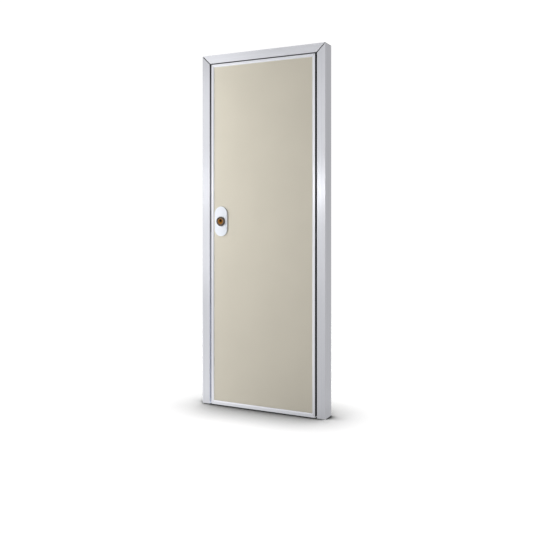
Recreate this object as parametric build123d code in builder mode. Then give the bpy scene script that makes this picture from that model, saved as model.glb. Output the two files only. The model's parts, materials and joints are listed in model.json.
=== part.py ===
from build123d import *
import math
import os

# Door set: aluminium frame on three sides, a PVC leaf edged with aluminium, a cylinder lock, three hinges.
# The origin is on the wall face of the hinge jamb, at the floor, half way through the depth.
# X runs along the set, with the opening toward -X. Y runs from the front to the back, and Z up.
# Sections are drawn as (u, v): u goes from the wall face into the opening, v from the front to the back.

os.makedirs("parts", exist_ok=True)

# Overall size of the set
set_width = 800.0
set_height = 2100.0
set_depth = 90.0

# Frame extrusion, the same on both jambs and on the head
frame_face = 50.0
front_chamber_depth = 40.0
rear_chamber_width = 26.0
frame_wall = 2.0
frame_edge_radius = 0.8
frame_mitre_gap = 3.2

# Corner cleats inside the front chambers
cleat_arm = 95.0
cleat_thickness = 6.0

# Gaps round the closed leaf
side_gap = 12.0
top_gap = 6.0
floor_gap = 1.0
lip_gap = 5.0

# Leaf extrusion: a flat face, a sloping bead, and a rear lip that overlaps the frame
trim_flat = 10.0
bottom_flat = 16.0
bead_width = 7.0
bead_drop = 2.6
bead_edge = 1.4
lip_reach = 25.0
lip_thickness = 3.0
leaf_wall = 2.0
leaf_edge_radius = 0.8
leaf_mitre_gap = 0.4

# Hollow PVC panel
panel_skin = 2.5
panel_rib = 2.0
panel_chambers = 12
panel_edge_clearance = 0.5

# Rubber seal on the shoulder of the frame
seal_base_width = 9.0
seal_base_thickness = 1.2
seal_bulb_radius = 2.2
seal_clearance = 0.5
seal_inset = 7.0

# Lock
lock_height = 1100.0
lock_backset = 67.0
lock_setback = 24.0
plate_width = 86.0
plate_height = 178.0
plate_thickness = 6.0
plate_bevel = 2.2
collar_diameter = 58.0
collar_height = 7.0
collar_bevel = 3.0
barrel_diameter = 40.0
barrel_setback = 1.0
barrel_hole_clearance = 0.3
plug_diameter = 33.0
plug_clearance = 0.05
plug_setback = 2.5
keyway_width = 3.4
keyway_height = 15.0
keyway_rise = 2.0
keyway_depth = 28.0
dish_diameter = 28.0
dish_floor = 9.0
dish_depth = 3.5
case_length = 97.0
case_height = 140.0
case_thickness = 16.0
case_wall = 1.5
case_clearance = 0.5
faceplate_width = 24.0
faceplate_height = 190.0
faceplate_thickness = 3.0
bolt_thickness = 12.0
bolt_height = 32.0
bolt_length = 44.0
bolt_clearance = 0.2
strike_width = 28.0
strike_height = 130.0
strike_thickness = 1.5
strike_corner_radius = 3.0
strike_slot_clearance = 1.5
strike_box_depth = 24.0
strike_box_wall = 1.0

# Hinges
low_hinge_height = 250.0
top_hinge_drop = 250.0
hinge_axis_u = 33.0
hinge_axis_v = 60.0
knuckle_diameter = 13.0
knuckle_height = 46.0
knuckle_gap = 0.5
pin_diameter = 7.0
pin_clearance = 0.05
pin_reach = 38.0
hinge_plate_thickness = 2.5
frame_plate_width = 25.0
leaf_strap_thickness = 3.0
leaf_strap_bend = 44.0
leaf_strap_end = 76.0

# Values that follow from the ones above
half_depth = set_depth / 2
leaf_edge = frame_face + side_gap
leaf_top = set_height - frame_face - top_gap
lip_front = front_chamber_depth + lip_gap
leaf_back = lip_front + lip_thickness
panel_front = bead_drop + bead_edge
panel_thickness = lip_front - panel_front
lock_u = leaf_edge + lock_backset
lock_x = lock_u - set_width
slot_width = bolt_thickness + 2 * strike_slot_clearance
slot_height = bolt_height + 2 * strike_slot_clearance
plate_front = panel_front - plate_thickness
plate_back = lip_front + plate_thickness
collar_front = plate_front - collar_height
collar_back = plate_back + collar_height
top_hinge_height = set_height - top_hinge_drop
mid_hinge_height = (low_hinge_height + top_hinge_height) / 2
reach = set_depth


def hinge_side(u, v):
    """Plan position of a section point on the hinge side."""
    return (-u, v - half_depth)


def lock_side(u, v):
    """Plan position of a section point on the lock side."""
    return (u - set_width, v - half_depth)


def head_side(u, v):
    """Position of a section point along the head, seen from its end."""
    return (v - half_depth, set_height - u)


def floor_side(u, v):
    """Position of a section point along the foot of the leaf, seen from its end."""
    return (v - half_depth, floor_gap + u)


def box_corners(u0, v0, u1, v1):
    """Corners of a box in section."""
    return [(u0, v0), (u1, v0), (u1, v1), (u0, v1)]


def section(place, outline, cores=(), rounded=(), radius=0.0):
    """Section of an extrusion: outline, hollow cores and rounded corners, set out by place."""
    with BuildSketch() as drawn:
        with BuildLine():
            Polyline(*[place(u, v) for u, v in outline], close=True)
        make_face()
        if rounded:
            spots = [place(u, v) for u, v in rounded]
            picked = [c for c in drawn.vertices() if min(math.dist((c.X, c.Y), s) for s in spots) < 0.001]
            fillet(picked, radius)
        for core in cores:
            with BuildLine():
                Polyline(*[place(u, v) for u, v in core], close=True)
            make_face(mode=Mode.SUBTRACT)
    return drawn.sketch


def frame_section(place):
    """The two hollow chambers of the frame, with the shoulder that the leaf closes on."""
    outline = [
        (0, 0),
        (frame_face, 0),
        (frame_face, front_chamber_depth),
        (rear_chamber_width, front_chamber_depth),
        (rear_chamber_width, set_depth),
        (0, set_depth),
    ]
    far = front_chamber_depth - frame_wall
    cores = [
        box_corners(frame_wall, frame_wall, frame_face - frame_wall, far),
        box_corners(frame_wall, front_chamber_depth, rear_chamber_width - frame_wall, set_depth - frame_wall),
    ]
    rounded = [(0, 0), (frame_face, 0), (frame_face, front_chamber_depth), (rear_chamber_width, set_depth)]
    return section(place, outline, cores, rounded, frame_edge_radius)


def leaf_section(place, edge, flat):
    """Hollow edge of the leaf, with the sloping bead that holds the panel at the front."""
    inner = edge + flat
    bead = inner + bead_width
    outline = [
        (edge, 0),
        (inner, 0),
        (bead, bead_drop),
        (bead, panel_front),
        (inner, panel_front),
        (inner, lip_front),
        (edge, lip_front),
    ]
    cores = [box_corners(edge + leaf_wall, leaf_wall, inner - leaf_wall, lip_front - leaf_wall)]
    return section(place, outline, cores, [(edge, 0)], leaf_edge_radius)


def strip_section(place, edge, flat, lip):
    """Flat strip at the back of the leaf: it holds the panel in, and its lip overlaps the frame."""
    return section(place, box_corners(edge - lip, lip_front, edge + flat + bead_width, leaf_back))


def seal_section(place):
    """Rubber seal: a flat foot on the shoulder and a round bulb toward the lip."""
    u1 = frame_face - seal_inset / 2
    u0 = u1 - seal_base_width
    crest = lip_front - seal_clearance
    with BuildSketch() as drawn:
        foot = box_corners(u0, front_chamber_depth, u1, front_chamber_depth + seal_base_thickness)
        add(section(place, foot))
        with Locations(place((u0 + u1) / 2, crest - seal_bulb_radius)):
            Circle(seal_bulb_radius)
    return drawn.sketch


def top_waste(place, edge, corner_z, gap, keep_below):
    """Waste on one side of the mitre that starts at the outer top corner of a member."""
    shift = gap / 2 * math.sqrt(2)
    if keep_below:
        points = [
            (edge - reach, corner_z + reach - shift),
            (edge + reach, corner_z - reach - shift),
            (edge + reach, corner_z + reach),
        ]
    else:
        points = [
            (edge - reach, corner_z + reach + shift),
            (edge + reach, corner_z - reach + shift),
            (edge - reach, corner_z - reach + shift),
        ]
    return section(lambda u, z: (place(u, 0)[0], z), points)


def foot_waste(place, keep_above):
    """Waste on one side of the mitre between a stile and the deeper rail at the foot."""
    slope = (bottom_flat + bead_width) / (trim_flat + bead_width)
    shift = leaf_mitre_gap / 2 * math.sqrt(1 + slope * slope)
    low = floor_gap - slope * reach
    high = floor_gap + slope * reach
    if keep_above:
        points = [(leaf_edge - reach, low + shift), (leaf_edge + reach, high + shift), (leaf_edge + reach, low)]
    else:
        points = [(leaf_edge - reach, low - shift), (leaf_edge + reach, high - shift), (leaf_edge - reach, high)]
    return section(lambda u, z: (place(u, 0)[0], z), points)


def save(made, name):
    """Name the piece and write it out."""
    made.part.label = name
    export_step(made.part, f"parts/{name}.step")


def frame_jamb(place, name, strike):
    """One upright of the frame, mitred at the top and cut square at the floor."""
    with BuildPart() as jamb:
        with BuildSketch(Plane.XY):
            add(frame_section(place))
        extrude(amount=set_height)
        with BuildSketch(Plane.XZ):
            add(top_waste(place, 0, set_height, frame_mitre_gap, True))
        extrude(amount=set_depth, both=True, mode=Mode.SUBTRACT)
        if strike:
            # hole for the strike box through the wall that faces the leaf
            with BuildSketch(Plane.YZ.offset(place(frame_face, 0)[0])):
                with Locations((lock_setback - half_depth, lock_height)):
                    Rectangle(slot_width + 2 * strike_box_wall, slot_height + 2 * strike_box_wall)
            extrude(amount=-frame_wall, mode=Mode.SUBTRACT)
    save(jamb, name)


def corner_cleat(place, name):
    """Angle inside a top corner that joins the jamb to the head."""
    t = frame_wall
    c = cleat_thickness
    with BuildPart() as cleat:
        with BuildSketch(Plane.XZ.offset(half_depth - frame_wall)):
            outline = [
                (t, set_height - t),
                (t + cleat_arm, set_height - t),
                (t + cleat_arm, set_height - t - c),
                (t + c, set_height - t - c),
                (t + c, set_height - t - cleat_arm),
                (t, set_height - t - cleat_arm),
            ]
            add(section(lambda u, z: (place(u, 0)[0], z), outline))
        extrude(amount=-(front_chamber_depth - 2 * frame_wall))
    save(cleat, name)


def upright_seal(place, name):
    """Seal up one jamb, mitred at the top."""
    with BuildPart() as seal:
        with BuildSketch(Plane.XY):
            add(seal_section(place))
        extrude(amount=set_height)
        with BuildSketch(Plane.XZ):
            add(top_waste(place, 0, set_height, 0, True))
        extrude(amount=set_depth, both=True, mode=Mode.SUBTRACT)
    save(seal, name)


def leaf_stile(place, name, mortise):
    """One upright edge of the leaf, mitred at both ends."""
    with BuildPart() as stile:
        with BuildSketch(Plane.XY.offset(floor_gap)):
            add(leaf_section(place, leaf_edge, trim_flat))
        extrude(amount=leaf_top - floor_gap)
        with BuildSketch(Plane.XZ):
            add(top_waste(place, leaf_edge, leaf_top, leaf_mitre_gap, True))
            add(foot_waste(place, True))
        extrude(amount=set_depth, both=True, mode=Mode.SUBTRACT)
        if mortise:
            # the lock's faceplate lies in the outer wall, and its case passes through the inner wall
            outer = place(leaf_edge, 0)[0]
            inner = place(leaf_edge + trim_flat, 0)[0]
            with BuildSketch(Plane.YZ.offset(outer)):
                with Locations((lock_setback - half_depth, lock_height)):
                    Rectangle(faceplate_width, faceplate_height)
            extrude(amount=faceplate_thickness, mode=Mode.SUBTRACT)
            with BuildSketch(Plane.YZ.offset(inner)):
                with Locations((lock_setback - half_depth, lock_height)):
                    Rectangle(case_thickness + 2 * case_clearance, case_height + 2 * case_clearance)
            extrude(amount=-leaf_wall, mode=Mode.SUBTRACT)
    save(stile, name)


def upright_strip(place, name):
    """Rear strip up one side of the leaf, mitred at both ends."""
    with BuildPart() as strip:
        with BuildSketch(Plane.XY.offset(floor_gap)):
            add(strip_section(place, leaf_edge, trim_flat, lip_reach))
        extrude(amount=leaf_top + lip_reach - floor_gap)
        with BuildSketch(Plane.XZ):
            add(top_waste(place, leaf_edge, leaf_top, leaf_mitre_gap, True))
            add(foot_waste(place, True))
        extrude(amount=set_depth, both=True, mode=Mode.SUBTRACT)
    save(strip, name)


def escutcheon(back, name):
    """Rounded plate round the cylinder, on the front or the back of the panel."""
    seat = lip_front if back else panel_front
    # the plane's normal points to the front, so a plate on the back grows the other way
    grow = -plate_thickness if back else plate_thickness
    with BuildPart() as plate:
        with BuildSketch(Plane.XZ.offset(half_depth - seat)):
            with Locations((lock_x, lock_height)):
                SlotOverall(plate_height, plate_width, rotation=90)
        extrude(amount=grow)
        face = plate.faces().sort_by(Axis.Y)[-1 if back else 0]
        chamfer(face.edges(), plate_bevel)
        with BuildSketch(Plane.XZ.offset(half_depth)):
            with Locations((lock_x, lock_height)):
                Circle(barrel_diameter / 2 + barrel_hole_clearance)
        extrude(amount=set_depth, both=True, mode=Mode.SUBTRACT)
    save(plate, name)


def collar(back, name):
    """Turned ring on the plate, round the end of the barrel."""
    seat = plate_back if back else plate_front
    grow = -collar_height if back else collar_height
    with BuildPart() as ring:
        with BuildSketch(Plane.XZ.offset(half_depth - seat)):
            with Locations((lock_x, lock_height)):
                Circle(collar_diameter / 2)
                Circle(barrel_diameter / 2, mode=Mode.SUBTRACT)
        extrude(amount=grow)
        face = ring.faces().sort_by(Axis.Y)[-1 if back else 0]
        rim = face.edges().sort_by(SortBy.LENGTH)[-1]
        chamfer(rim, collar_bevel)
    save(ring, name)


def hinge_frame_half(height, name):
    """Lower half of a lift-off hinge: a plate on the jamb, a knuckle and the pin that stands in it."""
    low = height - knuckle_gap / 2 - knuckle_height
    axis = hinge_side(hinge_axis_u, hinge_axis_v)
    with BuildPart() as half:
        with BuildSketch(Plane.XY.offset(low)):
            u0 = rear_chamber_width
            add(section(hinge_side, box_corners(u0, hinge_axis_v, u0 + hinge_plate_thickness,
                                                hinge_axis_v + frame_plate_width)))
            with Locations(axis):
                Circle(knuckle_diameter / 2)
        extrude(amount=knuckle_height)
        with BuildSketch(Plane.XY.offset(low)):
            with Locations(axis):
                Circle(pin_diameter / 2)
        extrude(amount=knuckle_height + pin_reach)
    save(half, name)


def hinge_leaf_half(height, name):
    """Upper half of a lift-off hinge: a cranked strap on the back of the leaf and a bored knuckle."""
    low = height + knuckle_gap / 2
    axis = hinge_side(hinge_axis_u, hinge_axis_v)
    near = hinge_axis_v - knuckle_diameter / 2
    t = leaf_strap_thickness
    strap = [
        (hinge_axis_u, near),
        (leaf_strap_bend, near),
        (leaf_strap_bend, leaf_back),
        (leaf_strap_end, leaf_back),
        (leaf_strap_end, leaf_back + t),
        (leaf_strap_bend + t, leaf_back + t),
        (leaf_strap_bend + t, near + t),
        (hinge_axis_u, near + t),
    ]
    with BuildPart() as half:
        with BuildSketch(Plane.XY.offset(low)):
            add(section(hinge_side, strap))
            with Locations(axis):
                Circle(knuckle_diameter / 2)
                Circle(pin_diameter / 2 + pin_clearance, mode=Mode.SUBTRACT)
        extrude(amount=knuckle_height)
    save(half, name)


# Frame
frame_jamb(hinge_side, "hinge_jamb", False)
frame_jamb(lock_side, "lock_jamb", True)

with BuildPart() as head:
    with BuildSketch(Plane.YZ.offset(-set_width)):
        add(frame_section(head_side))
    extrude(amount=set_width)
    with BuildSketch(Plane.XZ):
        add(top_waste(hinge_side, 0, set_height, frame_mitre_gap, False))
        add(top_waste(lock_side, 0, set_height, frame_mitre_gap, False))
    extrude(amount=set_depth, both=True, mode=Mode.SUBTRACT)
save(head, "head_member")

corner_cleat(hinge_side, "hinge_corner_cleat")
corner_cleat(lock_side, "lock_corner_cleat")

# Seals
upright_seal(hinge_side, "hinge_seal")
upright_seal(lock_side, "lock_seal")

with BuildPart() as head_seal:
    with BuildSketch(Plane.YZ.offset(-set_width)):
        add(seal_section(head_side))
    extrude(amount=set_width)
    with BuildSketch(Plane.XZ):
        add(top_waste(hinge_side, 0, set_height, 0, False))
        add(top_waste(lock_side, 0, set_height, 0, False))
    extrude(amount=set_depth, both=True, mode=Mode.SUBTRACT)
save(head_seal, "head_seal")

# Strike plate on the lock jamb
with BuildPart() as strike_plate:
    with BuildSketch(Plane.YZ.offset(frame_face - set_width)):
        with Locations((lock_setback - half_depth, lock_height)):
            RectangleRounded(strike_width, strike_height, strike_corner_radius)
            Rectangle(slot_width, slot_height, mode=Mode.SUBTRACT)
    extrude(amount=strike_thickness)
save(strike_plate, "strike_plate")

# Box behind the strike plate that the bolt goes into
with BuildPart() as strike_box:
    with BuildSketch(Plane.YZ.offset(frame_face - set_width)):
        with Locations((lock_setback - half_depth, lock_height)):
            Rectangle(slot_width + 2 * strike_box_wall, slot_height + 2 * strike_box_wall)
    extrude(amount=-strike_box_depth)
    with BuildSketch(Plane.YZ.offset(frame_face - set_width)):
        with Locations((lock_setback - half_depth, lock_height)):
            Rectangle(slot_width, slot_height)
    extrude(amount=strike_box_wall - strike_box_depth, mode=Mode.SUBTRACT)
save(strike_box, "strike_box")

# Leaf edges
leaf_stile(hinge_side, "leaf_hinge_stile", False)
leaf_stile(lock_side, "leaf_lock_stile", True)

with BuildPart() as leaf_top_rail:
    with BuildSketch(Plane.YZ.offset(leaf_edge - set_width)):
        add(leaf_section(head_side, set_height - leaf_top, trim_flat))
    extrude(amount=set_width - 2 * leaf_edge)
    with BuildSketch(Plane.XZ):
        add(top_waste(hinge_side, leaf_edge, leaf_top, leaf_mitre_gap, False))
        add(top_waste(lock_side, leaf_edge, leaf_top, leaf_mitre_gap, False))
    extrude(amount=set_depth, both=True, mode=Mode.SUBTRACT)
save(leaf_top_rail, "leaf_top_rail")

with BuildPart() as leaf_bottom_rail:
    with BuildSketch(Plane.YZ.offset(leaf_edge - set_width)):
        add(leaf_section(floor_side, 0, bottom_flat))
    extrude(amount=set_width - 2 * leaf_edge)
    with BuildSketch(Plane.XZ):
        add(foot_waste(hinge_side, False))
        add(foot_waste(lock_side, False))
    extrude(amount=set_depth, both=True, mode=Mode.SUBTRACT)
save(leaf_bottom_rail, "leaf_bottom_rail")

# Rear strips
upright_strip(hinge_side, "rear_hinge_strip")
upright_strip(lock_side, "rear_lock_strip")

with BuildPart() as rear_top_strip:
    with BuildSketch(Plane.YZ.offset(-set_width)):
        add(strip_section(head_side, set_height - leaf_top, trim_flat, lip_reach))
    extrude(amount=set_width)
    with BuildSketch(Plane.XZ):
        add(top_waste(hinge_side, leaf_edge, leaf_top, leaf_mitre_gap, False))
        add(top_waste(lock_side, leaf_edge, leaf_top, leaf_mitre_gap, False))
    extrude(amount=set_depth, both=True, mode=Mode.SUBTRACT)
save(rear_top_strip, "rear_top_strip")

with BuildPart() as rear_bottom_strip:
    with BuildSketch(Plane.YZ.offset(leaf_edge - set_width)):
        add(strip_section(floor_side, 0, bottom_flat, 0))
    extrude(amount=set_width - 2 * leaf_edge)
    with BuildSketch(Plane.XZ):
        add(foot_waste(hinge_side, False))
        add(foot_waste(lock_side, False))
    extrude(amount=set_depth, both=True, mode=Mode.SUBTRACT)
save(rear_bottom_strip, "rear_bottom_strip")

# Hollow PVC panel, with upright chambers, held between the beads and the rear flanges
panel_side = leaf_edge + trim_flat + panel_edge_clearance
panel_width = set_width - 2 * panel_side
panel_foot = floor_gap + bottom_flat + panel_edge_clearance
panel_head = leaf_top - trim_flat - panel_edge_clearance
panel_middle = panel_front + panel_thickness / 2 - half_depth
chamber_pitch = (panel_width - panel_rib) / panel_chambers

with BuildPart() as pvc_panel:
    with BuildSketch(Plane.XY.offset(panel_foot)):
        with Locations((-set_width / 2, panel_middle)):
            Rectangle(panel_width, panel_thickness)
            with GridLocations(chamber_pitch, 0, panel_chambers, 1):
                Rectangle(chamber_pitch - panel_rib, panel_thickness - 2 * panel_skin, mode=Mode.SUBTRACT)
    extrude(amount=panel_head - panel_foot)
    # pocket for the lock case, from the edge of the panel inward
    with BuildSketch(Plane.YZ.offset(panel_side - set_width)):
        with Locations((lock_setback - half_depth, lock_height)):
            Rectangle(case_thickness + 2 * case_clearance, case_height + 2 * case_clearance)
    pocket_depth = leaf_edge + faceplate_thickness + case_length + case_clearance - panel_side
    extrude(amount=pocket_depth, mode=Mode.SUBTRACT)
    with BuildSketch(Plane.XZ):
        with Locations((lock_x, lock_height)):
            Circle(barrel_diameter / 2 + barrel_hole_clearance)
    extrude(amount=set_depth, both=True, mode=Mode.SUBTRACT)
save(pvc_panel, "pvc_panel")

# Lock
faceplate_x = leaf_edge - set_width

with BuildPart() as lock_faceplate:
    with BuildSketch(Plane.YZ.offset(faceplate_x)):
        with Locations((lock_setback - half_depth, lock_height)):
            Rectangle(faceplate_width, faceplate_height)
            Rectangle(bolt_thickness + 2 * bolt_clearance, bolt_height + 2 * bolt_clearance, mode=Mode.SUBTRACT)
    extrude(amount=faceplate_thickness)
save(lock_faceplate, "lock_faceplate")

with BuildPart() as lock_case:
    with BuildSketch(Plane.YZ.offset(faceplate_x + faceplate_thickness)):
        with Locations((lock_setback - half_depth, lock_height)):
            Rectangle(case_thickness, case_height)
    extrude(amount=case_length)
    with BuildSketch(Plane.YZ.offset(faceplate_x + faceplate_thickness)):
        with Locations((lock_setback - half_depth, lock_height)):
            Rectangle(case_thickness - 2 * case_wall, case_height - 2 * case_wall)
    extrude(amount=case_length - case_wall, mode=Mode.SUBTRACT)
    with BuildSketch(Plane.XZ):
        with Locations((lock_x, lock_height)):
            Circle(barrel_diameter / 2 + barrel_hole_clearance)
    extrude(amount=set_depth, both=True, mode=Mode.SUBTRACT)
save(lock_case, "lock_case")

with BuildPart() as dead_bolt:
    with BuildSketch(Plane.YZ.offset(faceplate_x)):
        with Locations((lock_setback - half_depth, lock_height)):
            Rectangle(bolt_thickness, bolt_height)
    extrude(amount=bolt_length)
save(dead_bolt, "dead_bolt")

escutcheon(False, "front_escutcheon")
escutcheon(True, "back_escutcheon")
collar(False, "front_collar")
collar(True, "back_collar")

with BuildPart() as cylinder_barrel:
    with BuildSketch(Plane.XZ.offset(half_depth - collar_front - barrel_setback)):
        with Locations((lock_x, lock_height)):
            Circle(barrel_diameter / 2)
            Circle(plug_diameter / 2 + plug_clearance, mode=Mode.SUBTRACT)
    extrude(amount=-(collar_back - collar_front - 2 * barrel_setback))
save(cylinder_barrel, "cylinder_barrel")

with BuildPart() as cylinder_plug:
    plug_start = half_depth - collar_front - plug_setback
    plug_length = collar_back - collar_front - 2 * plug_setback
    with BuildSketch(Plane.XZ.offset(plug_start)):
        with Locations((lock_x, lock_height)):
            Circle(plug_diameter / 2)
    extrude(amount=-plug_length)
    for face, inward in ((plug_start, -1), (plug_start - plug_length, 1)):
        with BuildSketch(Plane.XZ.offset(face)):
            with Locations((lock_x, lock_height)):
                Circle(dish_diameter / 2)
        with BuildSketch(Plane.XZ.offset(face + inward * dish_depth)):
            with Locations((lock_x, lock_height)):
                Circle(dish_floor / 2)
        loft(mode=Mode.SUBTRACT)
        with BuildSketch(Plane.XZ.offset(face)):
            with Locations((lock_x, lock_height + keyway_rise)):
                Rectangle(keyway_width, keyway_height)
        extrude(amount=inward * keyway_depth, mode=Mode.SUBTRACT)
save(cylinder_plug, "cylinder_plug")

# Hinges
for spot, height in (("low", low_hinge_height), ("mid", mid_hinge_height), ("top", top_hinge_height)):
    hinge_frame_half(height, f"{spot}_hinge_frame_half")
    hinge_leaf_half(height, f"{spot}_hinge_leaf_half")
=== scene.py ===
import json
import math

import bmesh
import bpy
from mathutils import Matrix, Vector


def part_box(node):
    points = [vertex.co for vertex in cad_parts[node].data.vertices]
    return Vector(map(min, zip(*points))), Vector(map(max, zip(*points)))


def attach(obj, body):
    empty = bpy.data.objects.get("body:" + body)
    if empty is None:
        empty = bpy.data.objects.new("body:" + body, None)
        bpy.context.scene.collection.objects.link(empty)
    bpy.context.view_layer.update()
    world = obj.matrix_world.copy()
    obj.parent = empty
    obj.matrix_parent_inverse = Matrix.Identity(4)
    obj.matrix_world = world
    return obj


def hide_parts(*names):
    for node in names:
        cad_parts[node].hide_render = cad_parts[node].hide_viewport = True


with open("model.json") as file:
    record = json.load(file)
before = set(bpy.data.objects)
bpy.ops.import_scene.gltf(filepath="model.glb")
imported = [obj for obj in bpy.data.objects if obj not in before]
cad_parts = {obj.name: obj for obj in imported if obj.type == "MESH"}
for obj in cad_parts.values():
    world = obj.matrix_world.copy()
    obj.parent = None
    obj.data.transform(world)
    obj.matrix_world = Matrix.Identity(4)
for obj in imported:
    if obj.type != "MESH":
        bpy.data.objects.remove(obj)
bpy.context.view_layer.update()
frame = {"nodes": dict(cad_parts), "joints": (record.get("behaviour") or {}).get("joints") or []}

bl_info = {
    "name": "PVC door dressing",
    "version": (1, 0, 0),
    "blender": (4, 5, 0),
    "location": "View3D > Sidebar > Door",
    "description": "Finishes, small fittings and studio stage for a PVC door in an aluminium frame",
    "category": "Object",
}

MM = 0.001
NODES = frame["nodes"]

UPRIGHT_PROFILES = ("hinge_jamb", "lock_jamb")
LEVEL_PROFILES = ("head_member",)
UPRIGHT_EDGES = ("leaf_hinge_stile", "leaf_lock_stile", "rear_hinge_strip", "rear_lock_strip")
LEVEL_EDGES = ("leaf_top_rail", "leaf_bottom_rail", "rear_top_strip", "rear_bottom_strip")
SEALS = ("hinge_seal", "lock_seal", "head_seal")
CLEATS = ("hinge_corner_cleat", "lock_corner_cleat")
LOCK_STEEL = ("strike_plate", "strike_box", "lock_faceplate", "lock_case")
HINGES = ("low_hinge", "mid_hinge", "top_hinge")

# the gap round the leaf: its middle and half depth, and how close to a face's plane counts as on it
GAP_MIDDLE, GAP_HALF = -24.2 * MM, 20.2 * MM
FACE_REACH = 0.4 * MM
# each face in the gap: its plane, the colour of painted shade on it, and the colour and roughness toward its
# foot, where that painted shade fades out; on the lock side this colour is lighter, painted light
UPRIGHT_REBATE_SHADE = (
    (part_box("hinge_jamb")[0][0], "#6E6F73", "#C3C4C9", 0.3),
    (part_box("leaf_lock_stile")[0][0], "#6E6F73", "#E2E5ED", 1.0),
    (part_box("lock_jamb")[1][0], "#C3C4C9", "#E2E5ED", 1.0),
)
LEVEL_REBATE_SHADE = (
    (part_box("head_member")[0][2], "#45464A", "#C3C4C9", 0.3),
    (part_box("leaf_bottom_rail")[0][2], "#45464A", "#C3C4C9", 0.3),
)
# the frame's two mitres as x + lean * z = offset, how far the sealer reaches to each side of their middle,
# and how far down from the top they go
SET_LOW, SET_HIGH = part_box("lock_jamb")[0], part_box("head_member")[1]
MITRES = ((-1, -SET_HIGH[2]), (1, SET_LOW[0] + SET_HIGH[2]))
SEALER_REACH = 2.5 * MM * math.sqrt(2)
CORNER_DEPTH = 60 * MM
# heights at which the painted shade in the gap starts to fade and is gone
SHADE_FADE_TOP, SHADE_FADE_FOOT = 2.0, 0.5
# roughness of the frame's anodising and of the leaf's
FRAME_ROUGHNESS, LEAF_ROUGHNESS = 0.30, 0.34

# the floor: half its side, how far off things darken its colour with painted shadow, broadly and in a line,
# and its grey by the share of sky that is open above it
FLOOR_HALF = 12
SHADE_REACH, TOUCH_REACH = 0.4, 0.08
SHADE_STOPS = ((0.53, 0.013), (0.58, 0.1), (1.0, 0.2))
WHITE = (1, 1, 1, 1)


class DoorFinishes(bpy.types.PropertyGroup):
    """Colours of the door's finishes, as sRGB hex values."""

    aluminium: bpy.props.StringProperty(
        name="Aluminium", description="Satin silver anodised extrusions", default="#C3C4C9")
    stile_with_highlight: bpy.props.StringProperty(
        name="Leaf stiles", description="Anodising on the leaf's upright edges, brightened as painted highlight", default="#D6D7DC")
    rails: bpy.props.StringProperty(
        name="Leaf rails", description="Anodising on the leaf's top and bottom edges", default="#CBCCD1")
    mill_aluminium: bpy.props.StringProperty(
        name="Cleats painted dark", description="Corner cleats, near-black as painted shade in the mitre gaps", default="#2A2A2C")
    cream: bpy.props.StringProperty(
        name="Panel", description="Cream PVC of the panel", default="#D2CCBD")
    white: bpy.props.StringProperty(
        name="Lock plates", description="White plastic round the cylinder", default="#E2E6EE")
    nickel: bpy.props.StringProperty(
        name="Collars", description="Dark nickel of the collars and barrel", default="#554D46")
    brass: bpy.props.StringProperty(
        name="Brass", description="Cylinder plug and bolt", default="#8F5F26")
    zinc: bpy.props.StringProperty(
        name="Zinc", description="Plated lock steel", default="#B4B6BA")
    hinge: bpy.props.StringProperty(
        name="Hinges", description="Satin steel of the hinges", default="#C2C3C7")
    rubber: bpy.props.StringProperty(
        name="Seals", description="Black rubber of the seals", default="#161618")


class DoorFittings(bpy.types.PropertyGroup):
    """Sizes of the small fittings that are modelled here."""

    screw_radius: bpy.props.FloatProperty(
        name="Screw head radius", description="Countersunk heads in the hinges and lock", default=3.8 * MM,
        unit="LENGTH")
    strip_screw_pitch: bpy.props.FloatProperty(
        name="Strip screw pitch", description="Spacing of the screws along the rear strips", default=330 * MM,
        unit="LENGTH")
    plate_round: bpy.props.FloatProperty(
        name="Plate rounding", description="Radius round the front of a lock plate", default=2.4 * MM,
        unit="LENGTH")


class DoorStage(bpy.types.PropertyGroup):
    """Camera and light of the studio."""

    lens: bpy.props.FloatProperty(
        name="Lens", description="Focal length on a 36 mm sensor", default=47.82, unit="CAMERA")
    eye: bpy.props.FloatVectorProperty(
        name="Eye", description="Where the camera stands", size=3, default=(1.4774, -3.710, 1.134),
        subtype="TRANSLATION", unit="LENGTH")
    yaw: bpy.props.FloatProperty(
        name="Yaw", description="How far the camera is turned to the left of the door's depth",
        default=math.radians(26.70), subtype="ANGLE", unit="ROTATION")
    frame_drop: bpy.props.FloatProperty(
        name="Frame drop", description="Vertical shift of the image", default=-0.0953)
    fill: bpy.props.FloatProperty(
        name="Fill", description="Strength of the even light all round", default=0.07)
    key: bpy.props.FloatProperty(
        name="Key", description="Power of the grazing soft box on the left", default=19.0, unit="POWER")
    front: bpy.props.FloatProperty(
        name="Front", description="Power of the front fill", default=1.2, unit="POWER")
    low: bpy.props.FloatProperty(
        name="Low", description="Power of the fill at the foot of the leaf", default=0.3, unit="POWER")
    back: bpy.props.FloatProperty(
        name="Back", description="Power of the back fill", default=10.5, unit="POWER")
    box: bpy.props.FloatProperty(
        name="Box", description="Power of the broad box at the front left", default=11.5, unit="POWER")
    strip: bpy.props.FloatProperty(
        name="Strip", description="Power of the strip that the frame mirrors", default=0.36, unit="POWER")
    overhead: bpy.props.FloatProperty(
        name="Overhead", description="Strength of the light from above", default=5.6)
    floor: bpy.props.FloatProperty(
        name="Floor", description="Strength of the light on the floor alone", default=16.5)


class DoorSettings(bpy.types.PropertyGroup):
    """All settings of the door."""

    finishes: bpy.props.PointerProperty(type=DoorFinishes)
    fittings: bpy.props.PointerProperty(type=DoorFittings)
    stage: bpy.props.PointerProperty(type=DoorStage)


def settings():
    """The door's settings on the current scene."""
    return bpy.context.scene.door_settings


def linear(hex_colour):
    """sRGB hex colour as linear RGBA."""
    parts = [int(hex_colour[i:i + 2], 16) / 255 for i in (1, 3, 5)]
    return [c / 12.92 if c <= 0.04045 else ((c + 0.055) / 1.055) ** 2.4 for c in parts] + [1.0]


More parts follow.
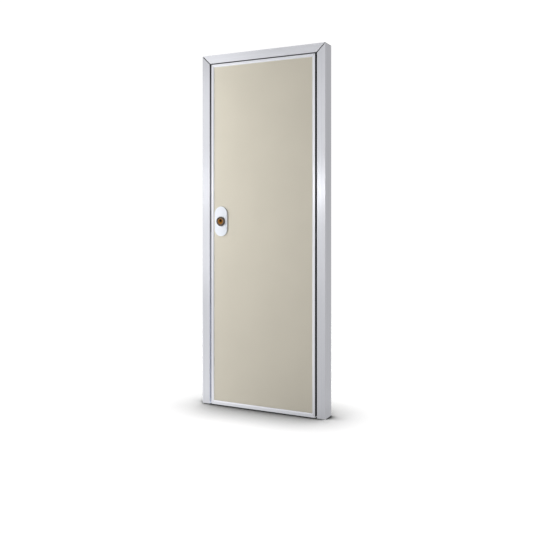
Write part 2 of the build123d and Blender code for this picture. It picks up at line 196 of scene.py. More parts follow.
def add_node(tree, kind, values=None, links=None, **options):
    """Adds a node, sets its options and input values, and links outputs of other nodes to its inputs."""
    made = tree.nodes.new(kind)
    for name, option in options.items():
        setattr(made, name, option)
    for name, value in (values or {}).items():
        made.inputs[name].default_value = value
    for name, source in (links or {}).items():
        tree.links.new(source, made.inputs[name])
    return made


def new_material(name):
    """Empty node material and its output node."""
    made = bpy.data.materials.new(name)
    made.use_nodes = True
    made.node_tree.nodes.clear()
    return made, add_node(made.node_tree, "ShaderNodeOutputMaterial")


def calculate(tree, operation, first, second=None):
    """Result of a math node on two results, or on one."""
    links = {0: first} if second is None else {0: first, 1: second}
    return add_node(tree, "ShaderNodeMath", links=links, operation=operation).outputs[0]


def is_near(tree, value, middle, half):
    """1 where a value lies within half of the middle, or else 0."""
    return add_node(tree, "ShaderNodeMath", {1: middle, 2: half}, {0: value}, operation="COMPARE").outputs[0]


def is_above(tree, value, limit):
    """1 where a value is over the limit, or else 0."""
    return add_node(tree, "ShaderNodeMath", {1: limit}, {0: value}, operation="GREATER_THAN").outputs[0]


def ranged(tree, value, low, high, start=0.0, end=1.0, **options):
    """A value from start to end, stretched to go from low to high."""
    limits = {"From Min": start, "From Max": end, "To Min": low, "To Max": high}
    return add_node(tree, "ShaderNodeMapRange", limits, {"Value": value}, **options).outputs[0]


def covered(tree, shade, colour, share):
    """A shade with a share of an sRGB colour over it."""
    mix = add_node(tree, "ShaderNodeMix", {"B": linear(colour)}, {"Factor": share, "A": shade},
                   data_type="RGBA")
    return mix.outputs["Result"]


def pattern(tree, place, detail, grain=1.0):
    """Noise with a grain of the given size in metres."""
    noise = add_node(tree, "ShaderNodeTexNoise", {"Scale": 1 / grain, "Detail": detail}, {"Vector": place})
    return noise.outputs["Fac"]


def two_tone(tree, drift, colour, tones, stops=(0.3, 0.7)):
    """A colour that goes with a pattern from its darker tone to its lighter tone."""
    ramp = add_node(tree, "ShaderNodeValToRGB", links={"Fac": drift})
    for element, position, tone in zip(ramp.color_ramp.elements, stops, tones):
        element.position = position
        element.color = [min(1, c * tone) for c in linear(colour)[:3]] + [1]
    return ramp.outputs["Color"]


def relief(tree, height, strength, depth):
    """Normal of a fine relief."""
    bump = add_node(tree, "ShaderNodeBump", {"Strength": strength, "Distance": depth}, {"Height": height})
    return bump.outputs["Normal"]


def surface(tree, out, values, links):
    """Ends a material in a principled shader."""
    shader = add_node(tree, "ShaderNodeBsdfPrincipled", values, links)
    tree.links.new(shader.outputs[0], out.inputs["Surface"])


def anodised_aluminium(name, colour, along, rebate_shade, roughness, corners=()):
    """Satin anodised aluminium: fine drawn lines along the extrusion, soft broad reflections."""
    made, out = new_material(name)
    tree = made.node_tree
    spot = add_node(tree, "ShaderNodeTexCoord")
    # drawing lines 0.7 mm apart across the bar and about half a metre long
    fine = [1 / (0.7 * MM)] * 3
    fine[along] = 1 / (500 * MM)
    # coarser streaks, 7 mm apart, so that the draw shows at the size of the picture
    broad = [1 / (7 * MM)] * 3
    broad[along] = 1 / (900 * MM)
    fine_map = add_node(tree, "ShaderNodeMapping", {"Scale": fine}, {"Vector": spot.outputs["Object"]})
    broad_map = add_node(tree, "ShaderNodeMapping", {"Scale": broad}, {"Vector": spot.outputs["Object"]})
    lines = pattern(tree, fine_map.outputs[0], 3.0)
    streaks = pattern(tree, broad_map.outputs[0], 2.0)
    shade = two_tone(tree, streaks, colour, (0.965, 1.03))
    gloss = ranged(tree, lines, roughness - 0.04, roughness + 0.05)
    # gap faces round the leaf get painted shade, which fades toward the foot into their foot colour,
    # lighter on the lock side as painted light; there they also turn rougher
    x, y, z = add_node(tree, "ShaderNodeSeparateXYZ", links={0: spot.outputs["Object"]}).outputs
    across_bar = x if along == 2 else z
    in_gap = is_near(tree, y, GAP_MIDDLE, GAP_HALF)
    shade_fade = ranged(tree, z, 0.0, 1.0, SHADE_FADE_TOP, SHADE_FADE_FOOT)
    for plane, dust_and_painted_shade, foot_tone, foot_roughness in rebate_shade:
        inside = calculate(tree, "MULTIPLY", is_near(tree, across_bar, plane, FACE_REACH), in_gap)
        foot_share = calculate(tree, "MULTIPLY", inside, shade_fade)
        shade = covered(tree, shade, dust_and_painted_shade, calculate(tree, "SUBTRACT", inside, foot_share))
        shade = covered(tree, shade, foot_tone, foot_share)
        gloss = add_node(tree, "ShaderNodeMix", {3: foot_roughness}, {"Factor": foot_share, 2: gloss}).outputs[0]
    # joint sealer that has crept out of an open mitre, as a thin dark line on both sides of it
    at_corner = is_above(tree, z, SET_HIGH[2] - CORNER_DEPTH)
    for lean, offset in corners:
        rise = add_node(tree, "ShaderNodeMath", {1: lean}, {0: z, 2: x}, operation="MULTIPLY_ADD").outputs[0]
        joint = is_near(tree, rise, offset, SEALER_REACH)
        shade = covered(tree, shade, "#1F1C1A", calculate(tree, "MULTIPLY", joint, at_corner))
    # sawn mitre faces are painted near-black, painted shade for the open mitres: only they face sideways and
    # up or down at once
    turn = add_node(tree, "ShaderNodeSeparateXYZ", links={0: spot.outputs["Normal"]}).outputs
    slant = calculate(tree, "ABSOLUTE", calculate(tree, "MULTIPLY", turn[0], turn[2]))
    shade = covered(tree, shade, "#2B2B2D", is_above(tree, slant, 0.3))
    # the drawn lines spread a reflection across the bar and leave it sharp along it
    across = add_node(tree, "ShaderNodeTangent", direction_type="RADIAL", axis="XYZ"[along])
    surface(tree, out, {"Metallic": 1.0, "Anisotropic": 0.85},
            {"Base Color": shade, "Roughness": gloss, "Normal": relief(tree, lines, 0.06, 0.02 * MM),
             "Tangent": across.outputs[0]})
    return made


def pvc_skin(name, colour):
    """Extruded PVC skin: smooth and satin, with a faint ripple and a very even colour."""
    made, out = new_material(name)
    tree = made.node_tree
    place = add_node(tree, "ShaderNodeTexCoord").outputs["Object"]
    # slow drift of the colour over 250 mm, and orange peel 1.6 mm across
    drift = pattern(tree, place, 2.0, 250 * MM)
    peel = pattern(tree, place, 2.0, 1.6 * MM)
    surface(tree, out, {"IOR": 1.53, "Specular IOR Level": 0.18},
            {"Base Color": two_tone(tree, drift, colour, (0.985, 1.015)),
             "Roughness": ranged(tree, peel, 0.40, 0.48),
             "Normal": relief(tree, peel, 0.08, 0.05 * MM)})
    return made


def moulded_plastic(name, colour, roughness):
    """Injection-moulded ABS: even colour, glossy, with a trace of mould texture."""
    made, out = new_material(name)
    tree = made.node_tree
    grain = pattern(tree, add_node(tree, "ShaderNodeTexCoord").outputs["Object"], 2.0, 2.5 * MM)
    surface(tree, out, {"Base Color": linear(colour), "IOR": 1.52},
            {"Roughness": ranged(tree, grain, roughness - 0.04, roughness + 0.05),
             "Normal": relief(tree, grain, 0.05, 0.05 * MM)})
    return made


def plated_metal(name, colour, roughness, grain_mm, wear=0.08, painted_spot=None):
    """Turned, stamped or plated metal: a fine grain in the gloss and a little wear in the colour.

    A painted spot is a colour, a centre and a reach: it darkens the metal round the centre, seen from the
    front, as painted shade.
    """
    made, out = new_material(name)
    tree = made.node_tree
    place = add_node(tree, "ShaderNodeTexCoord").outputs["Object"]
    grain = pattern(tree, place, 3.0, grain_mm * MM)
    patch = pattern(tree, place, 2.0, 9 * MM)
    shade = two_tone(tree, patch, colour, (1 - wear, 1 + wear), (0.35, 0.65))
    if painted_spot:
        spot_colour, centre, reach = painted_spot
        offset = add_node(tree, "ShaderNodeMapping", {"Location": [-c for c in centre]}, {"Vector": place})
        flat = add_node(tree, "ShaderNodeVectorMath", {1: (1, 0, 1)}, {0: offset.outputs[0]},
                        operation="MULTIPLY")
        away = add_node(tree, "ShaderNodeVectorMath", links={0: flat.outputs[0]}, operation="LENGTH")
        spot_share = ranged(tree, away.outputs["Value"], 1.0, 0.0, 0.35 * reach, reach,
                       interpolation_type="SMOOTHSTEP")
        shade = covered(tree, shade, spot_colour, spot_share)
    surface(tree, out, {"Metallic": 1.0},
            {"Base Color": shade, "Roughness": ranged(tree, grain, roughness - 0.06, roughness + 0.06),
             "Normal": relief(tree, grain, 0.1, 0.03 * MM)})
    return made


def seal_rubber(name, colour):
    """Extruded EPDM rubber: black, dull, slightly dusty."""
    made, out = new_material(name)
    tree = made.node_tree
    dust_and_painted_shade = pattern(tree, add_node(tree, "ShaderNodeTexCoord").outputs["Object"], 3.0, 4 * MM)
    surface(tree, out, {"Base Color": linear(colour), "IOR": 1.5},
            {"Roughness": ranged(tree, dust_and_painted_shade, 0.62, 0.8), "Normal": relief(tree, dust_and_painted_shade, 0.2, 0.05 * MM)})
    return made


def finish_material(name, make, *args):
    """The named material, made once."""
    return bpy.data.materials.get(name) or make(name, *args)


def dress(names, material):
    """Puts a material on CAD nodes."""
    for name in names:
        data = NODES[name].data
        data.materials.clear()
        data.materials.append(material)


def new_piece(name, shape, material, body, replaces=()):
    """Makes an object from a bmesh and ties it to its body and its finish."""
    bmesh.ops.remove_doubles(shape, verts=shape.verts, dist=1e-6)
    bmesh.ops.recalc_face_normals(shape, faces=shape.faces)
    data = bpy.data.meshes.new(name)
    shape.to_mesh(data)
    shape.free()
    data.materials.append(material)
    piece = bpy.data.objects.new(name, data)
    bpy.context.scene.collection.objects.link(piece)
    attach(piece, body)
    if replaces:
        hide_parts(*replaces)
    return piece


def add_lamp(name, spot, target, width, height, power, spread):
    """Adds a soft box that faces its target, with a grid that keeps its light within the spread."""
    box = bpy.data.lights.new(name, "AREA")
    box.shape = "RECTANGLE"
    box.size = width
    box.size_y = height
    box.energy = power
    box.spread = math.radians(spread)
    lamp = bpy.data.objects.new(name, box)
    lamp.location = spot
    lamp.rotation_euler = (Vector(target) - Vector(spot)).to_track_quat("-Z", "Y").to_euler()
    bpy.context.scene.collection.objects.link(lamp)
    return lamp


def shade_smooth(piece, angle):
    """Smooth shading with edges sharper than the angle left crisp."""
    piece.data.shade_smooth()
    edges = bmesh.new()
    edges.from_mesh(piece.data)
    for edge in edges.edges:
        edge.smooth = edge.calc_face_angle(0.0) < angle
    edges.to_mesh(piece.data)
    edges.free()


def add_screw(shape, spot, normal, radius, turn):
    """Adds a countersunk screw head with a cross recess, proud of its plate by a hair."""
    head = bmesh.new()
    rise = 0.35 * MM
    sink = 0.15 * radius
    bmesh.ops.create_cone(head, cap_ends=True, segments=24, radius1=radius, radius2=radius * 0.96,
                          depth=rise + sink)
    bmesh.ops.translate(head, verts=head.verts, vec=(0, 0, (rise - sink) / 2))
    top = max(head.faces, key=lambda f: f.calc_center_median().z)
    bmesh.ops.inset_individual(head, faces=[top], thickness=radius * 0.38)
    # the cross, with arms of this half width, is cut from the faces inside the inset's rim
    half = radius * 0.16
    inset_rim = radius * 0.64

    def inset_faces():
        """Faces of the head's top that lie inside the inset's rim."""
        tops = [f for f in head.faces if f.normal.z > 0.9]
        return [f for f in tops if max(v.co.xy.length for v in f.verts) < inset_rim]

    for direction in ((1, 0, 0), (0, 1, 0)):
        for side in (-half, half):
            geometry = inset_faces()
            edges = list({e for f in geometry for e in f.edges})
            geometry += edges + list({v for e in edges for v in e.verts})
            bmesh.ops.bisect_plane(head, geom=geometry, plane_co=Vector(direction) * side, plane_no=direction)
    cross = [f for f in inset_faces() if min(abs(c) for c in f.calc_center_median().xy) < half * 0.9]
    moved = bmesh.ops.extrude_face_region(head, geom=cross)
    bmesh.ops.delete(head, geom=cross, context="FACES_KEEP_BOUNDARY")
    sunk = [v for v in moved["geom"] if isinstance(v, bmesh.types.BMVert)]
    bmesh.ops.translate(head, verts=sunk, vec=(0, 0, -radius * 0.3))
    aim = Vector(normal).to_track_quat("Z", "Y").to_matrix().to_4x4()
    place = Matrix.Translation(spot) @ aim @ Matrix.Rotation(turn, 4, "Z")
    bmesh.ops.transform(head, matrix=place, verts=head.verts)
    head_mesh = bpy.data.meshes.new("screw_head")
    head.to_mesh(head_mesh)
    head.free()
    shape.from_mesh(head_mesh)
    bpy.data.meshes.remove(head_mesh)


def screw_set(name, spots, normal, body, radius):
    """One piece with all the screws of a fitting."""
    shape = bmesh.new()
    for i, spot in enumerate(spots):
        add_screw(shape, spot, normal, radius, 0.55 * i)
    material = finish_material("zinc_plated_screws", plated_metal, settings().finishes.zinc, 0.32, 0.6)
    return new_piece(name, shape, material, body)


class DOOR_OT_dress_frame(bpy.types.Operator):
    """Gives the frame, its cleats and its seals their finishes"""

    bl_idname = "door.dress_frame"
    bl_label = "Dress frame"

    def execute(self, context):
        colours = settings().finishes
        for names, finish, along, rebate_shade in (
            (UPRIGHT_PROFILES, "satin_anodised_upright", 2, UPRIGHT_REBATE_SHADE),
            (LEVEL_PROFILES, "satin_anodised_level", 0, LEVEL_REBATE_SHADE),
        ):
            dress(names, finish_material(finish, anodised_aluminium, colours.aluminium, along, rebate_shade,
                                         FRAME_ROUGHNESS, MITRES))
        # the corner cleats are near-black: painted shade for the open mitres they show through
        dress(CLEATS, finish_material("mill_aluminium", plated_metal, colours.mill_aluminium, 0.45, 1.5))
        dress(SEALS, finish_material("epdm_rubber", seal_rubber, colours.rubber))
        return {"FINISHED"}


class DOOR_OT_dress_leaf(bpy.types.Operator):
    """Gives the leaf's edges and panel their finishes"""

    bl_idname = "door.dress_leaf"
    bl_label = "Dress leaf"

    def execute(self, context):
        colours = settings().finishes
        # the leaf's upright edges get a brighter colour than its rails: painted highlight
        for names, finish, colour, along, rebate_shade in (
            (UPRIGHT_EDGES, "upright_anodised_painted_highlight", colours.stile_with_highlight, 2, UPRIGHT_REBATE_SHADE),
            (LEVEL_EDGES, "bright_anodised_level", colours.rails, 0, LEVEL_REBATE_SHADE),
        ):
            dress(names, finish_material(finish, anodised_aluminium, colour, along, rebate_shade, LEAF_ROUGHNESS))
        dress(("pvc_panel",), finish_material("cream_pvc_skin", pvc_skin, colours.cream))
        return {"FINISHED"}


class DOOR_OT_add_edge_gaskets(bpy.types.Operator):
    """Clips ribbed rubber gaskets to the leaf's hinge edge and top edge"""

    bl_idname = "door.add_edge_gaskets"
    bl_label = "Add edge gaskets"

    def execute(self, context):
        rubber = finish_material("epdm_rubber", seal_rubber, settings().finishes.rubber)
        stile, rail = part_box("leaf_hinge_stile"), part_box("leaf_top_rail")
        front, back = stile[0][1] + 0.9 * MM, stile[0][1] + 37 * MM
        # the gasket's section, as height over the edge and depth, with three ribs
        section = [(0, front), (1.0 * MM, front)]
        for share in (0.12, 0.5, 0.88):
            middle = front + (back - front) * share
            section += [(1.0 * MM, middle - 2.2 * MM), (2.3 * MM, middle - 1.0 * MM),
                        (2.3 * MM, middle + 1.0 * MM), (1.0 * MM, middle + 2.2 * MM)]
        section += [(1.0 * MM, back), (0, back)]
        runs = (
            ("hinge_edge_gasket", stile[1][0], 6 * MM, stile[1][2] - 3 * MM, True),
            ("top_edge_gasket", rail[1][2], rail[0][0] + 3 * MM, rail[1][0] - 3 * MM, False),
        )
        for name, edge, start, end, upright in runs:
            shape = bmesh.new()
            for rise, depth in section:
                shape.verts.new((edge + rise, depth, start) if upright else (start, depth, edge + rise))
            face = shape.faces.new(shape.verts)
            drawn = bmesh.ops.extrude_face_region(shape, geom=[face], use_keep_orig=True)
            ends = [v for v in drawn["geom"] if isinstance(v, bmesh.types.BMVert)]
            reach = (0, 0, end - start) if upright else (end - start, 0, 0)
            bmesh.ops.translate(shape, verts=ends, vec=reach)
            new_piece(name, shape, rubber, "leaf")
        return {"FINISHED"}


class DOOR_OT_add_lock_plates(bpy.types.Operator):
    """Models the rounded white plates round the cylinder, front and back"""

    bl_idname = "door.add_lock_plates"
    bl_label = "Add lock plates"

    def execute(self, context):
        material = finish_material("white_moulded_abs", moulded_plastic, settings().finishes.white, 0.22)
        rounding = settings().fittings.plate_round
        barrel_low, barrel_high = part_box("cylinder_barrel")
        hole = (barrel_high[0] - barrel_low[0]) / 2 + 0.2 * MM
        for node, out in (("front_escutcheon", -1), ("back_escutcheon", 1)):
            low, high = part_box(node)
            middle = [(a + b) / 2 for a, b in zip(low, high)]
            half_width = (high[0] - low[0]) / 2
            stretch = (high[2] - low[2]) / 2 - half_width
            thick = high[1] - low[1]
            shape = bmesh.new()
            segments = 72
            rim = bmesh.ops.create_circle(shape, segments=segments, radius=half_width)["verts"]
            bmesh.ops.rotate(shape, verts=rim, matrix=Matrix.Rotation(math.pi / segments, 3, "Z"))
            for sign in (-1, 1):
                bmesh.ops.translate(shape, verts=[v for v in rim if v.co.y * sign > 0],
                                    vec=(0, stretch * sign, 0))
            eye = bmesh.ops.create_circle(shape, segments=segments, radius=hole)["verts"]
            bmesh.ops.rotate(shape, verts=eye, matrix=Matrix.Rotation(math.pi / segments, 3, "Z"))
            bmesh.ops.bridge_loops(shape, edges=list(shape.edges))
            lifted = bmesh.ops.extrude_face_region(shape, geom=list(shape.faces))
            raised = [v for v in lifted["geom"] if isinstance(v, bmesh.types.BMVert)]
            bmesh.ops.translate(shape, verts=raised, vec=(0, 0, thick))
            edge_loop = [e for e in shape.edges if all(v.co.z > thick / 2 for v in e.verts)
                         and all(v.co.xy.length > half_width * 0.99 for v in e.verts)]
            bmesh.ops.bevel(shape, geom=edge_loop, offset=rounding, offset_type="OFFSET", affect="EDGES",
                            segments=5, profile=0.5, material=-1)
            turn = Matrix.Rotation(math.radians(90 if out < 0 else -90), 4, "X")
            seat = high[1] if out < 0 else low[1]
            bmesh.ops.transform(shape, matrix=Matrix.Translation((middle[0], seat, middle[2])) @ turn,
                                verts=shape.verts)
            piece = new_piece(node + "_moulded", shape, material, "leaf", (node,))
            shade_smooth(piece, math.radians(40))
        return {"FINISHED"}


class DOOR_OT_add_collars(bpy.types.Operator):
    """Turns the collars round the cylinder and finishes the cylinder, the bolt and the lock's steel"""

    bl_idname = "door.add_collars"
    bl_label = "Add collars"

    def execute(self, context):
        colours = settings().finishes
        nickel = finish_material("dark_satin_nickel", plated_metal, colours.nickel, 0.22, 0.8, 0.3)
        dress(("cylinder_barrel",), nickel)
        dress(("dead_bolt",), finish_material("turned_brass", plated_metal, colours.brass, 0.30, 0.5))
        low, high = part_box("cylinder_plug")
        centre = [(a + b) / 2 for a, b in zip(low, high)]
        # the plug is painted dark brown round its keyway: painted shade for the keyway's hollow
        keyhole = [centre[0] + 0.5 * MM, centre[1], centre[2] + 5 * MM]
        painted_spot = ("#1E1206", keyhole, 13 * MM)
        dress(("cylinder_plug",), finish_material("brass_plug_with_painted_shade", plated_metal, colours.brass, 0.32, 0.5,
                                                  0.08, painted_spot))
        dress(LOCK_STEEL, finish_material("zinc_plated_steel", plated_metal, colours.zinc, 0.38, 1.2))
        barrel_low, barrel_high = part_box("cylinder_barrel")
        inner = (barrel_high[0] - barrel_low[0]) / 2 + 0.05 * MM
        for node, out in (("front_collar", -1), ("back_collar", 1)):
            low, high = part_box(node)
            middle = [(a + b) / 2 for a, b in zip(low, high)]
            outer = (high[0] - low[0]) / 2
            tall = high[1] - low[1]
            seat = high[1] if out < 0 else low[1]
            # half section of the ring: flat seat, short upright rim, rounded shoulder, dished face
            section = [(inner, 0), (outer, 0), (outer, 0.22), (outer - 0.5 * MM, 0.5),
                       (outer - 1.7 * MM, 0.78), (outer - 3.4 * MM, 0.96), (outer - 5 * MM, 1.0),
                       (inner + 1.2 * MM, 0.94), (inner, 0.86)]
            shape = bmesh.new()
            loop = [shape.verts.new((middle[0] + r, seat + out * tall * h, middle[2])) for r, h in section]
            rims = [shape.edges.new((a, b)) for a, b in zip(loop, loop[1:] + loop[:1])]
            bmesh.ops.spin(shape, geom=loop + rims, cent=(middle[0], 0, middle[2]), axis=(0, 1, 0),
                           angle=math.tau, steps=72, use_merge=True)
            piece = new_piece(node + "_turned", shape, nickel, "leaf", (node,))
            shade_smooth(piece, math.radians(50))
        return {"FINISHED"}


class DOOR_OT_add_hinge_fittings(bpy.types.Operator):
    """Finishes the hinges and adds their caps and screws"""

    bl_idname = "door.add_hinge_fittings"
    bl_label = "Add hinge fittings"

    def execute(self, context):
        colour = settings().finishes.hinge
        steel = finish_material("satin_hinge_steel", plated_metal, colour, 0.36, 1.0, 0.04)
        radius = settings().fittings.screw_radius
        # two screws on the face of each half's plate
        on_frame, on_leaf = [], []
        for name in HINGES:
            dress((name + "_frame_half", name + "_leaf_half"), steel)
            low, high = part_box(name + "_frame_half")
            face_x = high[0] - 2.5 * MM
            knuckle_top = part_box(name + "_leaf_half")[0][2]
            for share in (0.25, 0.75):
                height = low[2] + (knuckle_top - low[2]) * share
                on_frame.append((face_x, high[1] - 9 * MM, height))
            low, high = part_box(name + "_leaf_half")
            face_y = low[1] + 3 * MM
            for share in (0.25, 0.75):
                on_leaf.append((low[0] + 11 * MM, face_y, low[2] + (high[2] - low[2]) * share))
        screw_set("hinge_frame_screws", on_frame, (-1, 0, 0), "frame", radius)
        screw_set("hinge_leaf_screws", on_leaf, (0, 1, 0), "leaf", radius)
        # domed caps on the axis of the swing, below each frame half and above each leaf half
        axis = frame["joints"][0]["pos_m"]
        for suffix, body, top in (("frame_half", "frame", False), ("leaf_half", "leaf", True)):
            shape = bmesh.new()
            for name in HINGES:
                low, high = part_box(f"{name}_{suffix}")
                seat = high[2] if top else low[2]
                way = 1 if top else -1
                section = [(0, 0), (6.3, 0), (6.3, 0.8), (5.6, 2.0), (4.0, 3.0), (2.0, 3.5), (0, 3.6)]
                loop = [shape.verts.new((axis[0] + r * MM, axis[1], seat + way * h * MM))
                        for r, h in section]
                rims = [shape.edges.new((a, b)) for a, b in zip(loop, loop[1:])]
                bmesh.ops.spin(shape, geom=loop + rims, cent=(axis[0], axis[1], 0), axis=(0, 0, 1),
                               angle=math.tau, steps=32, use_merge=True)
            piece = new_piece(f"hinge_caps_{body}", shape, steel, body)
            shade_smooth(piece, math.radians(50))
        return {"FINISHED"}


class DOOR_OT_add_lock_screws(bpy.types.Operator):
    """Adds the screws of the strike plate, the lock's faceplate and the rear strips"""

    bl_idname = "door.add_lock_screws"
    bl_label = "Add lock screws"

    def execute(self, context):
        radius = settings().fittings.screw_radius
        low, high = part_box("strike_plate")
        spots = [(high[0], (low[1] + high[1]) / 2, z) for z in (low[2] + 16 * MM, high[2] - 16 * MM)]
        screw_set("strike_screws", spots, (1, 0, 0), "frame", radius)
        low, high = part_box("lock_faceplate")
        spots = [(low[0], (low[1] + high[1]) / 2, z) for z in (low[2] + 14 * MM, high[2] - 14 * MM)]
        screw_set("faceplate_screws", spots, (-1, 0, 0), "leaf", radius)
        spots = []
        end_inset = 84 * MM
        for node in ("rear_hinge_strip", "rear_lock_strip"):
            low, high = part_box(node)
            x = low[0] + 13 * MM if node == "rear_hinge_strip" else high[0] - 13 * MM
            bottom, top = low[2] + end_inset, high[2] - end_inset
            count = round((top - bottom) / settings().fittings.strip_screw_pitch)
            pitch = (top - bottom) / (count + 0.26)
            spots += [(x, high[1], bottom + pitch * (i + 0.13)) for i in range(count + 1)]
        for node, share in (("rear_top_strip", 0.32), ("rear_bottom_strip", 0.5)):
            low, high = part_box(node)
            z = low[2] + (high[2] - low[2]) * share
            spots += [(low[0] + (high[0] - low[0]) * i / 6, high[1], z) for i in (1, 3, 5)]
        screw_set("rear_strip_screws", spots, (0, 1, 0), "leaf", 3.2 * MM)
        return {"FINISHED"}


def add_sheet(name, size, place, material):
    """Adds a flat sheet to the stage."""
    shape = bmesh.new()
    bmesh.ops.create_grid(shape, x_segments=1, y_segments=1, size=size)
    bmesh.ops.transform(shape, matrix=place, verts=shape.verts)
    data = bpy.data.meshes.new(name)
    shape.to_mesh(data)
    shape.free()
    data.materials.append(material)
    sheet = bpy.data.objects.new(name, data)
    bpy.context.scene.collection.objects.link(sheet)
    return sheet


def floor_paper():
    """White floor: a sheet that takes real and painted shadows for the camera, and glows with a painted pool
    of light for reflections.
    """
    made, out = new_material("white_floor_paper")
    tree = made.node_tree
    path = add_node(tree, "ShaderNodeLightPath")
    place = add_node(tree, "ShaderNodeTexCoord").outputs["Object"]
    # in reflections the floor glows with a painted pool of light on the left, under the broad box, and with
    # painted shade close to the door
    side = add_node(tree, "ShaderNodeVectorMath", {1: (-1, 0.51, 0)}, {0: place}, operation="DOT_PRODUCT")
    pool = ranged(tree, side.outputs["Value"], 0.85, 1.36, 0.1, 0.8)
    depth = add_node(tree, "ShaderNodeSeparateXYZ", links={0: place}).outputs[1]
    foot = ranged(tree, calculate(tree, "ABSOLUTE", depth), 0.86, 1.0, 0.05, 0.30)
    glow = add_node(tree, "ShaderNodeEmission", {"Color": WHITE},
                    {"Strength": calculate(tree, "MULTIPLY", pool, foot)})
    # the sheet's colour is darkened close to whatever stands on it, a painted shadow as under an even sky
    sky = add_node(tree, "ShaderNodeAmbientOcclusion", {"Distance": SHADE_REACH})
    shade = add_node(tree, "ShaderNodeValToRGB", links={"Fac": sky.outputs["AO"]})
    stops = shade.color_ramp.elements
    stops.new(SHADE_STOPS[1][0])
    for stop, (open_share, grey) in zip(stops, SHADE_STOPS):
        stop.position = open_share
        stop.color = (grey, grey, grey, 1)
    # and more so in a thin line where something touches it, a painted contact shadow
    touch = add_node(tree, "ShaderNodeAmbientOcclusion", {"Distance": TOUCH_REACH})
    line = ranged(tree, touch.outputs["AO"], 0.05, 1.0, 0.5, 0.8)
    grey = add_node(tree, "ShaderNodeVectorMath", links={0: shade.outputs["Color"], 1: line},
                    operation="MULTIPLY")
    sheet = add_node(tree, "ShaderNodeBsdfDiffuse", links={"Color": grey.outputs["Vector"]})
    # it thins out toward its rim, so that no horizon shows
    away = add_node(tree, "ShaderNodeVectorMath", links={0: place}, operation="LENGTH").outputs["Value"]
    rim = ranged(tree, away, 0.0, 1.0, 2.5, 5.0)
    clear = add_node(tree, "ShaderNodeBsdfTransparent")
    thin = add_node(tree, "ShaderNodeMixShader", links={0: rim, 1: sheet.outputs[0], 2: clear.outputs[0]})
    seen = add_node(tree, "ShaderNodeMixShader",
                    links={0: path.outputs["Is Camera Ray"], 1: glow.outputs[0], 2: thin.outputs[0]})
    tree.links.new(seen.outputs[0], out.inputs["Surface"])
    return made


def flag_cloth():
    """Grey cloth that glows with painted light of its own, a little darker toward the top."""
    made, out = new_material("grey_flag_cloth")
    tree = made.node_tree
    spot = add_node(tree, "ShaderNodeTexCoord")
    height = add_node(tree, "ShaderNodeSeparateXYZ", links={0: spot.outputs["Object"]}).outputs[2]
    cloth_glow = add_node(tree, "ShaderNodeEmission", {"Color": WHITE},
                     {"Strength": ranged(tree, height, 0.83, 0.73, 0.0, 1.6)})
    tree.links.new(cloth_glow.outputs[0], out.inputs["Surface"])
    return made


def set_world(scene, fill):
    """Sets a world that is white to the camera and in reflections, and an even fill for everything else."""
    world = bpy.data.worlds.new("white_studio")
    scene.world = world
    world.use_nodes = True
    tree = world.node_tree
    tree.nodes.clear()
    path = add_node(tree, "ShaderNodeLightPath").outputs
    shown = add_node(tree, "ShaderNodeMath", {1: 1.03}, {0: path["Is Camera Ray"]}, operation="MULTIPLY")
    seen = calculate(tree, "MAXIMUM", shown.outputs[0], path["Is Glossy Ray"])
    seen = calculate(tree, "MAXIMUM", seen, path["Is Transmission Ray"])
    strength = ranged(tree, seen, fill, 1.0, clamp=False)
    sky = add_node(tree, "ShaderNodeBackground", {"Color": WHITE}, {"Strength": strength})
    add_node(tree, "ShaderNodeOutputWorld", links={"Surface": sky.outputs[0]})


def add_lights(scene, stage, floor):
    """Adds the boxes and the overhead light, nearly all for the door alone, and two lights for the floor."""
    off_floor = bpy.data.collections.new("not_lit_by_boxes")
    off_floor.objects.link(floor)
    off_floor.collection_objects[0].light_linking.link_state = "EXCLUDE"
    floor_alone = bpy.data.collections.new("lit_by_floor_light")
    floor_alone.objects.link(floor)
    # boxes that nothing mirrors: a grazing key on the left, a front fill, a low fill and a back fill
    for lamp in (
        add_lamp("key_box", (-2.0, -0.75, 1.65), (-0.4, 0, 1.3), 0.3, 1.8, stage.key, 140),
        add_lamp("front_box", (0.9, -4.8, 1.4), (-0.4, 0, 1.15), 1.0, 1.0, stage.front, 60),
        add_lamp("low_box", (-1.7, -1.3, 0.5), (-0.5, 0, 0.15), 0.6, 0.6, stage.low, 90),
        add_lamp("back_box", (1.6, 4.2, 2.2), (-0.4, 0, 1.1), 1.6, 1.6, stage.back, 60),
    ):
        lamp.visible_glossy = False
        lamp.light_linking.receiver_collection = off_floor
    # a broad box and a thin strip that the frame mirrors
    broad = add_lamp("left_box", (-3.2, -3.9, 1.6), (-0.8, 0, 1.4), 1.2, 2.6, stage.box, 180)
    broad.light_linking.receiver_collection = off_floor
    add_lamp("mirror_strip", (-1.53, -3.71, 1.43), (-0.1, 0, 1.25), 1.0, 0.1, stage.strip, 60)
    # light from above; the two on the floor throw the shadow to the front and to the right
    for name, heading, spread, power, lit in (
        ("overhead", (0.03, -0.075, -1), 10, stage.overhead, off_floor),
        ("floor_light", (0.03, -0.04, -1), 13, stage.floor / 2, floor_alone),
        ("floor_side_light", (0.05, 0.07, -1), 16, stage.floor / 2, floor_alone),
    ):
        glow = bpy.data.lights.new(name, "SUN")
        glow.energy = power
        glow.angle = math.radians(spread)
        lamp = bpy.data.objects.new(name, glow)
        lamp.rotation_euler = Vector(heading).to_track_quat("-Z", "Y").to_euler()
        lamp.light_linking.receiver_collection = lit
        scene.collection.objects.link(lamp)


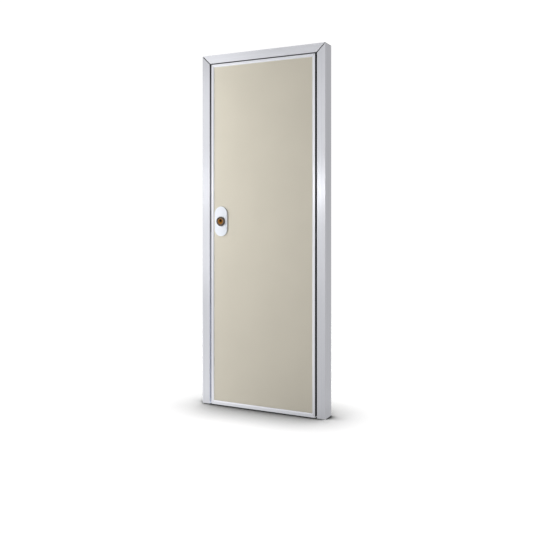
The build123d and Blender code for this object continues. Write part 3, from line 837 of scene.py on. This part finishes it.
class DOOR_OT_set_stage(bpy.types.Operator):
    """Sets the white floor, the studio light and the camera"""

    bl_idname = "door.set_stage"
    bl_label = "Set stage"

    def execute(self, context):
        stage = settings().stage
        scene = context.scene
        scene.view_settings.view_transform = "Standard"
        floor = add_sheet("studio_floor", FLOOR_HALF, Matrix(), floor_paper())
        # grey flag behind the hinge side, out of the camera's sight, that the jamb's outer face mirrors
        place = Matrix.Translation((0.25, 0.55, 1.30)) @ Matrix.Rotation(math.radians(-22), 4, "Z")
        place = place @ Matrix.Rotation(math.pi / 2, 4, "X") @ Matrix.Diagonal((1.5, 2.6, 1, 1))
        flag = add_sheet("grey_flag", 0.5, place, flag_cloth())
        flag.visible_camera = False
        flag.visible_shadow = False
        set_world(scene, stage.fill)
        add_lights(scene, stage, floor)

        eye = bpy.data.cameras.new("eye")
        eye.sensor_width = 36
        eye.lens = stage.lens
        eye.shift_y = stage.frame_drop
        eye.clip_end = 60
        camera = bpy.data.objects.new("eye", eye)
        camera.location = stage.eye
        camera.rotation_euler = (math.pi / 2, 0, stage.yaw)
        scene.collection.objects.link(camera)
        scene.camera = camera
        return {"FINISHED"}


class DOOR_PT_panel(bpy.types.Panel):
    """Lists the door's steps"""

    bl_idname = "DOOR_PT_panel"
    bl_label = "Door"
    bl_space_type = "VIEW_3D"
    bl_region_type = "UI"
    bl_category = "Door"

    def draw(self, context):
        for step in STEPS:
            self.layout.operator(step.bl_idname)


STEPS = (
    DOOR_OT_dress_frame,
    DOOR_OT_dress_leaf,
    DOOR_OT_add_edge_gaskets,
    DOOR_OT_add_lock_plates,
    DOOR_OT_add_collars,
    DOOR_OT_add_hinge_fittings,
    DOOR_OT_add_lock_screws,
    DOOR_OT_set_stage,
)
CLASSES = (DoorFinishes, DoorFittings, DoorStage, DoorSettings) + STEPS + (DOOR_PT_panel,)


def register():
    """Registers the classes and the settings."""
    for item in CLASSES:
        bpy.utils.register_class(item)
    bpy.types.Scene.door_settings = bpy.props.PointerProperty(type=DoorSettings)


def unregister():
    """Removes the settings and the classes."""
    del bpy.types.Scene.door_settings
    for item in reversed(CLASSES):
        bpy.utils.unregister_class(item)


def main():
    """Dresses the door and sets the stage."""
    register()
    bpy.ops.door.dress_frame()
    bpy.ops.door.dress_leaf()
    bpy.ops.door.add_edge_gaskets()
    bpy.ops.door.add_lock_plates()
    bpy.ops.door.add_collars()
    bpy.ops.door.add_hinge_fittings()
    bpy.ops.door.add_lock_screws()
    bpy.ops.door.set_stage()


if __name__ == "__main__":
    main()
